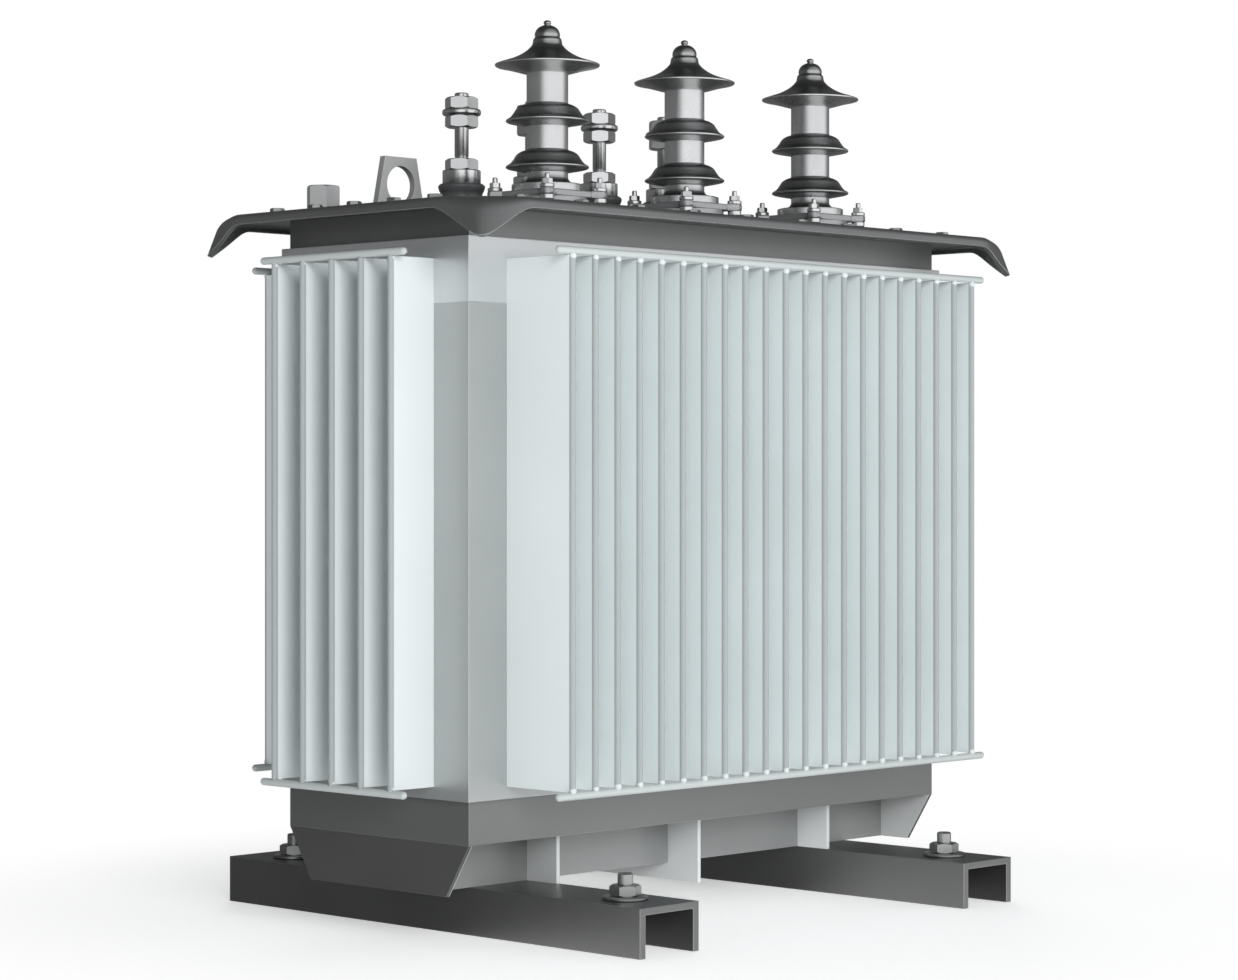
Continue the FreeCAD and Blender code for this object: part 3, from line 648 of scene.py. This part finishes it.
ROD_RADIUS = 0.005
WELD_RADIUS = 0.0048
HALF_FIN = 0.0044
WELD_INSET = {"front": 0.0034, "back": 0.0034, "left": 0.0053, "right": 0.0053}
for side in ("front", "back", "left", "right"):
    low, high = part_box("fin_rods_" + side)
    shells = []
    for z in (low.z + ROD_RADIUS, high.z - ROD_RADIUS):
        if side in ("front", "back"):
            y = (low.y + high.y) / 2
            shells.append(rod(Vector((low.x, y, z)), Vector((high.x, y, z)), ROD_RADIUS))
        else:
            x = (low.x + high.x) / 2
            shells.append(rod(Vector((x, low.y, z)), Vector((x, high.y, z)), ROD_RADIUS))
    rods = skinned("fin_rods_" + side + "_rounded", shells, 60)
    rods.data.materials.append(rod_paint)
    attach(rods, "root")
    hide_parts("fin_rods_" + side)

    fins_low, fins_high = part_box("fins_" + side)
    heights = (fins_low.z + 0.002, fins_high.z - 0.002)
    inset = WELD_INSET[side]
    if side in ("front", "back"):
        y = fins_low.y + inset if side == "front" else fins_high.y - inset
        first, pitch = fins_low.x + HALF_FIN, (fins_high.x - fins_low.x - 2 * HALF_FIN) / 20
        places = [(first + pitch * fin, y, z) for fin in range(21) for z in heights]
    else:
        x = fins_low.x + inset if side == "left" else fins_high.x - inset
        first, pitch = fins_low.y + HALF_FIN, (fins_high.y - fins_low.y - 2 * HALF_FIN) / 4
        places = [(x, first + pitch * fin, z) for fin in range(5) for z in heights]
    leans = [math.radians(angle) for angle in (-84, -55, -25, 0, 25, 55, 84)]
    blob_rings = [ring(WELD_RADIUS * math.cos(lean), WELD_RADIUS * math.sin(lean), 14) for lean in leans]
    blob = skinned("weld_blob_pattern", [blob_rings], 80)
    welds = repeated("tip_welds_" + side, blob, places, weld_paint, size_spread=0.06, turn_spread=3.1, seed=7)
    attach(welds, "root")

# ---------------------------------------------------------------- lid
# One pressed steel sheet, 6 mm thick. Its rim is turned straight down all round, and each
# corner is drawn down and outwards as a pointed flap. Dark grey paint with a metallic sheen.
lid_low, lid_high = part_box("lid")
LEG, THICK, RIM_DROP = 0.081, 0.006, 0.014
corners = []
for x_way, y_way in ((1, -1), (1, 1), (-1, 1), (-1, -1)):
    x = lid_high.x if x_way > 0 else lid_low.x
    y = lid_high.y if y_way > 0 else lid_low.y
    first = Vector((x - x_way * LEG, y, 0)) if x_way * y_way < 0 else Vector((x, y - y_way * LEG, 0))
    second = Vector((x, y - y_way * LEG, 0)) if x_way * y_way < 0 else Vector((x - x_way * LEG, y, 0))
    corners += [first, second]
stations = []
for number, start in enumerate(corners):
    end = corners[(number + 1) % len(corners)]
    run = end - start
    out = Vector((run.y, -run.x, 0)).normalized()
    count = round(run.length / 0.007)
    half = run.length / 2
    for step in range(count):
        share = (step + 0.5) / count
        point = start.lerp(end, share)
        if number % 2:
            stations.append((point, out, -0.008, 0.008, math.pi / 2, RIM_DROP))
            continue
        off = abs(share - 0.5) * 2
        spread = 1 - (math.sqrt(off * off + 0.004) - 0.063) / (math.sqrt(1.004) - 0.063)
        drop = RIM_DROP + 0.80 * (half - math.sqrt((off * half) ** 2 + 0.0045 ** 2))
        stations.append((point, out, -0.008 * (1 - spread), 0.008 + 0.024 * spread,
                         math.radians(90 - 22.4 * spread), max(drop, RIM_DROP)))
BEND_STEPS, STRAIGHT_STEPS = 9, 6
rows = []
for point, out, start_out, bend, angle, drop in stations:
    line = []
    for step in range(BEND_STEPS + 1):
        swept = angle * step / BEND_STEPS
        line.append((start_out + bend * math.sin(swept), bend * (1 - math.cos(swept))))
    left = max(drop - line[-1][1], 0.0005) / math.sin(angle)
    for step in range(1, STRAIGHT_STEPS + 1):
        more = left * step / STRAIGHT_STEPS
        line.append((line[BEND_STEPS][0] + more * math.cos(angle),
                     line[BEND_STEPS][1] + more * math.sin(angle)))
    rows.append([point + out * away + Vector((0, 0, lid_high.z - down)) for away, down in line])
for _ in range(3):
    rows = [[before * 0.25 + here * 0.5 + after * 0.25
             for before, here, after in zip(rows[n - 1], rows[n], rows[(n + 1) % len(rows)])]
            for n in range(len(rows))]
shape = bmesh.new()
made_rows = [[shape.verts.new(point) for point in line] for line in rows]
for number, line in enumerate(made_rows):
    beside = made_rows[(number + 1) % len(made_rows)]
    for step in range(len(line) - 1):
        shape.faces.new((line[step], line[step + 1], beside[step + 1], beside[step]))
shape.faces.new([line[0] for line in made_rows])
bmesh.ops.recalc_face_normals(shape, faces=shape.faces)
lid_mesh = bpy.data.meshes.new("lid_sheet")
shape.to_mesh(lid_mesh)
shape.free()
lid_sheet = bpy.data.objects.new("lid_sheet", lid_mesh)
scene.collection.objects.link(lid_sheet)
if lid_mesh.polygons[len(lid_mesh.polygons) - 1].normal.z < 0:
    lid_mesh.flip_normals()
wall = lid_sheet.modifiers.new("sheet", "SOLIDIFY")
wall.thickness = THICK
wall.offset = -1
wall.use_even_offset = True
made_plain(lid_sheet)
lid_sheet.data.polygons.foreach_set("use_smooth", [True] * len(lid_sheet.data.polygons))
lid_sheet.data.set_sharp_from_angle(angle=math.radians(40))
lid_paint = painted("lid_paint", 0.6, colour=(0.155, 0.157, 0.158, 1), edge_colour=(0.62, 0.63, 0.63, 1),
                    edge_amount=0.9, edge_radius=0.002, cloudiness=0.10, roughness=0.29, orange_peel=0.15)
lid_sheet.data.materials.clear()
lid_sheet.data.materials.append(lid_paint)
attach(lid_sheet, "root")
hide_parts("lid")

# ---------------------------------------------------------------- lid bolts
# Plated hexagon bolts along all four edges hold the lid down on the neck's flange.
# Each has a pressed washer under its head, and no two heads stop at quite the same turn.
lid_bolt = skinned("lid_bolt_pattern", [disc(0.0125, 0.0, 0.0016, 0.0004), nut(0.020, 0.0016, 0.0078)])
TANK_MIDDLE_Y, SHORT_PITCH, LONG_PITCH = -0.013, 0.078, 0.1083
side_x = lid_high.x - 0.040
places = [(x, TANK_MIDDLE_Y + SHORT_PITCH * row, lid_high.z) for x in (-side_x, side_x) for row in range(-2, 3)]
places += [(LONG_PITCH * row, y, lid_high.z) for y in (-0.243, 0.217) for row in range(-4, 5)]
lid_bolt_zinc = plated("lid_bolt_zinc", colour=(0.36, 0.364, 0.364, 1), roughness=0.36)
lid_bolts = repeated("lid_bolts", lid_bolt, places, lid_bolt_zinc, turn_spread=0.52, seed=11)
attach(lid_bolts, "root")

# ---------------------------------------------------------------- bushing rings and clamp plates
# Each high voltage bushing stands on a machined ring and is held by a cast plate with a
# boss at every corner for its clamp stud. Bare aluminium alloy with a fine cast skin.
clamp_metal = painted("clamp_metal", 0.8, colour=(0.42, 0.425, 0.43, 1), edge_colour=(0.75, 0.76, 0.76, 1),
                      edge_amount=0.6, edge_radius=0.001, cloudiness=0.10, roughness=0.38, orange_peel=0.5)
finish_nodes(clamp_metal, "hv_rings")
STUD_REACH, SCREW_CIRCLE = 0.0497, 0.061
PLATE_CUT, BOSS_RADIUS = 0.012, 0.0105
ring_bolt_places = []
stud_places = []
porcelain_axes = {}
for side in ("left", "middle", "right"):
    low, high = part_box("hv_clamp_plate_" + side)
    axis = (low + high) / 2
    porcelain_axes[side] = axis
    half = (high.x - low.x) / 2

    def plate_ring(z, ease):
        """A square outline with cut corners and a round boss at each."""
        points = []
        for step in range(144):
            turn = 2 * math.pi * (step + 0.5) / 144
            across, along = abs(math.cos(turn)), abs(math.sin(turn))
            reach = min(half / max(across, 1e-6), half / max(along, 1e-6),
                        (2 * half - PLATE_CUT) / (across + along))
            swing = math.cos(turn - math.pi / 4 - math.floor(turn / (math.pi / 2)) * math.pi / 2)
            centre = STUD_REACH * math.sqrt(2)
            under_root = BOSS_RADIUS ** 2 - centre ** 2 * (1 - swing ** 2)
            if under_root > 0:
                reach = max(reach, centre * swing + math.sqrt(under_root))
            points.append(Vector((axis.x + (reach - ease) * math.cos(turn),
                                  axis.y + (reach - ease) * math.sin(turn), z)))
        return points

    plate = skinned("clamp_plate_" + side, [[plate_ring(low.z, 0.001), plate_ring(low.z + 0.001, 0),
                                            plate_ring(high.z - 0.0012, 0), plate_ring(high.z, 0.0012)]], 40)
    plate.data.materials.append(clamp_metal)
    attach(plate, "root")
    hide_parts("hv_clamp_plate_" + side)
    ring_bolt_places += [(axis.x + SCREW_CIRCLE * math.cos(math.radians(angle)),
                          axis.y + SCREW_CIRCLE * math.sin(math.radians(angle)), lid_high.z)
                         for angle in (0, 90, 180, 270)]
    stud_places += [(axis.x + x * STUD_REACH, axis.y + y * STUD_REACH, lid_high.z)
                    for x in (-1, 1) for y in (-1, 1)]

# ---------------------------------------------------------------- clamp studs
# A plated stud at each corner of a clamp plate, with a round claw washer, a small nut
# above it and a lock nut on the lid. Small dome-headed screws sit round each ring's foot.
clamp_stud = skinned("clamp_stud_pattern", [
    [ring(0.0035, 0.0), ring(0.0035, 0.047), ring(0.0028, 0.048)],
    disc(0.010, 0.029, 0.034, 0.0008), nut(0.015, 0.034, 0.041),
    disc(0.0095, 0.0135, 0.020, 0.0008), nut(0.015, 0.0, 0.0065)])
stud_zinc = plated("stud_zinc", colour=(0.68, 0.687, 0.687, 1), roughness=0.26)
clamp_studs = repeated("clamp_studs", clamp_stud, stud_places, stud_zinc, turn_spread=0.5, seed=5)
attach(clamp_studs, "root")
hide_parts("hv_clamp_studs")
screw_line = [(0.0042, 0.0), (0.0042, 0.003), (0.0036, 0.0052), (0.0022, 0.0066), (0.0006, 0.0071)]
ring_screw = skinned("ring_screw_pattern", [[ring(radius, z, 20) for radius, z in screw_line]], 60)
ring_screws = repeated("ring_screws", ring_screw, ring_bolt_places, stud_zinc, turn_spread=0.5, seed=9)
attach(ring_screws, "root")


# ---------------------------------------------------------------- high voltage porcelain
# Slip-cast porcelain thrown round, with a wide top shed and two bell sheds below, on a
# broad foot. Dipped in a grey glaze; faces turned upwards, such as the shed tops, are painted darker as painted
# shade.
def eased(points, steps=5):
    """A smooth line through a profile's points."""
    line = []
    for number in range(len(points) - 1):
        before = points[max(number - 1, 0)]
        here, there = points[number], points[number + 1]
        after = points[min(number + 2, len(points) - 1)]
        for step in range(steps):
            t = step / steps
            line.append(tuple(0.5 * (2 * b + (c - a) * t + (2 * a - 5 * b + 4 * c - d) * t * t
                                     + (3 * b - a - 3 * c + d) * t ** 3)
                              for a, b, c, d in zip(before, here, there, after)))
    return line + [points[-1]]


def turned(name, line, spot, material, steps, sharp):
    """A piece turned about an upright axis, from a line of radii and heights."""
    rings = [[point + spot for point in ring(radius, z, steps)] for radius, z in line]
    piece = skinned(name, [rings], sharp)
    piece.data.materials.append(material)
    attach(piece, "root")
    return piece


glaze = bpy.data.materials.new("grey_glaze")
glaze.use_nodes = True
nodes, links = glaze.node_tree.nodes, glaze.node_tree.links
where = nodes.new("ShaderNodeTexCoord")
pooled = nodes.new("ShaderNodeTexNoise")
pooled.inputs["Scale"].default_value = 14
pooled.inputs["Detail"].default_value = 3
links.new(where.outputs["Object"], pooled.inputs["Vector"])
upward = nodes.new("ShaderNodeNewGeometry")
parts = nodes.new("ShaderNodeSeparateXYZ")
links.new(upward.outputs["Normal"], parts.inputs[0])
# Faces turned upwards, such as the shed tops, are painted darker: painted shade.
painted_shade_on_tops = nodes.new("ShaderNodeMapRange")
painted_shade_on_tops.inputs["From Min"].default_value = 0.15
painted_shade_on_tops.inputs["From Max"].default_value = 0.75
links.new(parts.outputs["Z"], painted_shade_on_tops.inputs["Value"])
tone = nodes.new("ShaderNodeMix")
tone.data_type = "RGBA"
tone.inputs["A"].default_value = (0.60, 0.605, 0.607, 1)
tone.inputs["B"].default_value = (0.15, 0.153, 0.156, 1)
links.new(painted_shade_on_tops.outputs["Result"], tone.inputs["Factor"])
stain = nodes.new("ShaderNodeMapRange")
stain.inputs["From Min"].default_value = 0.3
stain.inputs["From Max"].default_value = 0.7
stain.inputs["To Min"].default_value = 0.90
stain.inputs["To Max"].default_value = 1.08
links.new(pooled.outputs[0], stain.inputs["Value"])
stained = nodes.new("ShaderNodeVectorMath")
stained.operation = "SCALE"
links.new([o for o in tone.outputs if o.type == "RGBA"][0], stained.inputs[0])
links.new(stain.outputs["Result"], stained.inputs["Scale"])
sheen = nodes.new("ShaderNodeMapRange")
sheen.inputs["To Min"].default_value = 0.22
sheen.inputs["To Max"].default_value = 0.31
links.new(pooled.outputs[0], sheen.inputs["Value"])
throwing = nodes.new("ShaderNodeTexWave")
throwing.bands_direction = "Z"
throwing.inputs["Scale"].default_value = 60
throwing.inputs["Distortion"].default_value = 1.5
links.new(where.outputs["Object"], throwing.inputs["Vector"])
lines = nodes.new("ShaderNodeBump")
lines.inputs["Strength"].default_value = 0.06
lines.inputs["Distance"].default_value = 0.0004
links.new(throwing.outputs[1], lines.inputs["Height"])
shader = nodes["Principled BSDF"]
shader.inputs["Metallic"].default_value = 0.9
shader.inputs["Coat Weight"].default_value = 0.05
shader.inputs["Coat Roughness"].default_value = 0.12
links.new(stained.outputs[0], shader.inputs["Base Color"])
links.new(sheen.outputs["Result"], shader.inputs["Roughness"])
links.new(lines.outputs[0], shader.inputs["Normal"])

BODY = 0.028
foot_part = [(0.048, 0.0292), (0.048, 0.037), (0.0465, 0.0388), (0.038, 0.0402), (0.031, 0.0425),
             (BODY, 0.047)]


def bell(rim):
    """A lower shed, from its underside round the rim and up to the body."""
    return [(BODY, rim - 0.0075), (0.034, rim - 0.0062), (0.048, rim - 0.0036), (0.0545, rim - 0.002),
            (0.056, rim), (0.0548, rim + 0.0018), (0.050, rim + 0.0048), (0.0455, rim + 0.0105),
            (0.0415, rim + 0.0165), (0.036, rim + 0.0203), (0.031, rim + 0.022), (BODY, rim + 0.0235)]


top_shed = [(BODY, 0.1875), (0.034, 0.1885), (0.052, 0.1935), (0.066, 0.1968), (0.0698, 0.1976),
            (0.0705, 0.199), (0.0695, 0.2004), (0.060, 0.2035), (0.048, 0.2075), (0.037, 0.2125),
            (0.0285, 0.218), (0.0238, 0.2222)]
profile = eased(foot_part) + eased(bell(0.062)) + eased(bell(0.124)) + eased(top_shed) + [(0.0225, 0.2238)]
for side, axis in porcelain_axes.items():
    spot = Vector((axis.x, axis.y, lid_high.z))
    bushing = turned("porcelain_" + side, [(0.046, 0.0290)] + profile, spot, glaze, 72, 50)
    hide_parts("hv_porcelain_" + side)

# ---------------------------------------------------------------- high voltage caps
# A spun metal cap seals the head of each bushing: a bulge, a groove, a dome and a small
# ball that takes the line's clamp. Plated, with a darker tone than the studs.
bulge = [(0.0225, 0.2236), (0.0206, 0.2262), (0.0196, 0.2300), (0.0190, 0.2335), (0.0168, 0.2362)]
dome = [(0.0166, 0.2370), (0.0171, 0.2392), (0.0166, 0.2425), (0.0146, 0.2468), (0.0108, 0.2503),
        (0.0066, 0.2522), (0.0040, 0.2532)]
ball = [(0.0040, 0.2536), (0.0050, 0.2552), (0.0051, 0.2568), (0.0040, 0.2585), (0.0020, 0.2594),
        (0.0004, 0.2596)]
cap_profile = eased(bulge, 4) + eased(dome, 4) + eased(ball, 4)
cap_metal = plated("cap_metal", colour=(0.42, 0.424, 0.424, 1), roughness=0.24)
for side, axis in porcelain_axes.items():
    spot = Vector((axis.x, axis.y, lid_high.z))
    cap = turned("hv_cap_" + side, cap_profile, spot, cap_metal, 56, 60)
    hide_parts("hv_terminal_" + side)

# ---------------------------------------------------------------- low voltage bushings
# A dark moulded collar seals each bushing to the lid, and a metal cup holds the stud.
# Above it come a hexagon, the bare stud, a nut, a bulging washer and a second nut.
collar_dark = painted("lv_collar_paint", 0.3, colour=(0.11, 0.112, 0.115, 1), edge_colour=(0.2, 0.2, 0.2, 1),
                      edge_amount=0.4, edge_radius=0.001, cloudiness=0.10, roughness=0.34, orange_peel=0.25)
lv_zinc = plated("lv_zinc", colour=(0.66, 0.667, 0.667, 1), roughness=0.24)
collar_line = eased([(0.0290, 0.0), (0.0290, 0.040), (0.0315, 0.0485), (0.0330, 0.0535), (0.0325, 0.0565),
                     (0.0295, 0.0588)], 4)
cup_line = [(0.0262, 0.0580), (0.0270, 0.0595), (0.0270, 0.0768), (0.0260, 0.0780)]
stud_line = [(0.0094, 0.090), (0.0094, 0.097), (0.0100, 0.098), (0.0100, 0.1855), (0.0088, 0.187)]
washer_line = eased([(0.0245, 0.1548), (0.0268, 0.1565), (0.0274, 0.1595), (0.0268, 0.1625),
                     (0.0245, 0.1642)], 3)
LV_NUT = 0.0475


def turned_and_set(point, turn, spot):
    """A point turned about the upright axis and moved to its spot."""
    return Vector((point.x * math.cos(turn) - point.y * math.sin(turn),
                   point.x * math.sin(turn) + point.y * math.cos(turn), point.z)) + spot


for number, turn in enumerate((0.12, -0.35, 0.30, -0.1), 1):
    low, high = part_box(f"lv_insulator_{number}")
    spot = Vector(((low.x + high.x) / 2, (low.y + high.y) / 2, lid_high.z))
    collar = turned(f"lv_collar_{number}", collar_line, spot, collar_dark, 56, 50)
    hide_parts(f"lv_insulator_{number}")
    shells = [[ring(radius, z, 56) for radius, z in cup_line], nut(LV_NUT, 0.078, 0.094),
              [ring(radius, z, 32) for radius, z in stud_line], nut(LV_NUT, 0.138, 0.155),
              [ring(radius, z, 56) for radius, z in washer_line], nut(LV_NUT, 0.164, 0.181)]
    set_shells = [[[turned_and_set(point, turn, spot) for point in points] for points in rings]
                  for rings in shells]
    terminal = skinned(f"lv_stud_{number}", set_shells)
    terminal.data.materials.append(lv_zinc)
    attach(terminal, "root")
    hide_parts(f"lv_terminal_{number}")

# ---------------------------------------------------------------- lifting lugs
# Thick plate cut to a trapezoid with a round eye, and welded upright on the lid near
# each end. Sprayed grey, with a painted highlight along its edges.
lug_paint = painted("lug_paint", 0.45, colour=(0.420, 0.428, 0.428, 1), edge_colour=(0.65, 0.66, 0.66, 1),
                    edge_amount=0.7, edge_radius=0.0014, cloudiness=0.10, roughness=0.38, orange_peel=0.2)
finish_nodes(lug_paint, "lifting_lug_left", "lifting_lug_right")

# ---------------------------------------------------------------- oil filler
# A hexagonal plug screwed down on a short round neck. Turned from bright bar.
low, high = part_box("oil_filler_plug")
spot = Vector(((low.x + high.x) / 2, (low.y + high.y) / 2, low.z))
tall = high.z - low.z
plug = skinned("filler_plug", [[[point + spot for point in points] for points in rings]
                               for rings in (disc(0.020, 0.0, 0.006), nut(0.047, 0.005, tall))])
plug_zinc = plated("plug_zinc", colour=(0.9, 0.909, 0.909, 1), roughness=0.36)
plug.data.materials.append(plug_zinc)
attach(plug, "root")
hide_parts("oil_filler_plug")
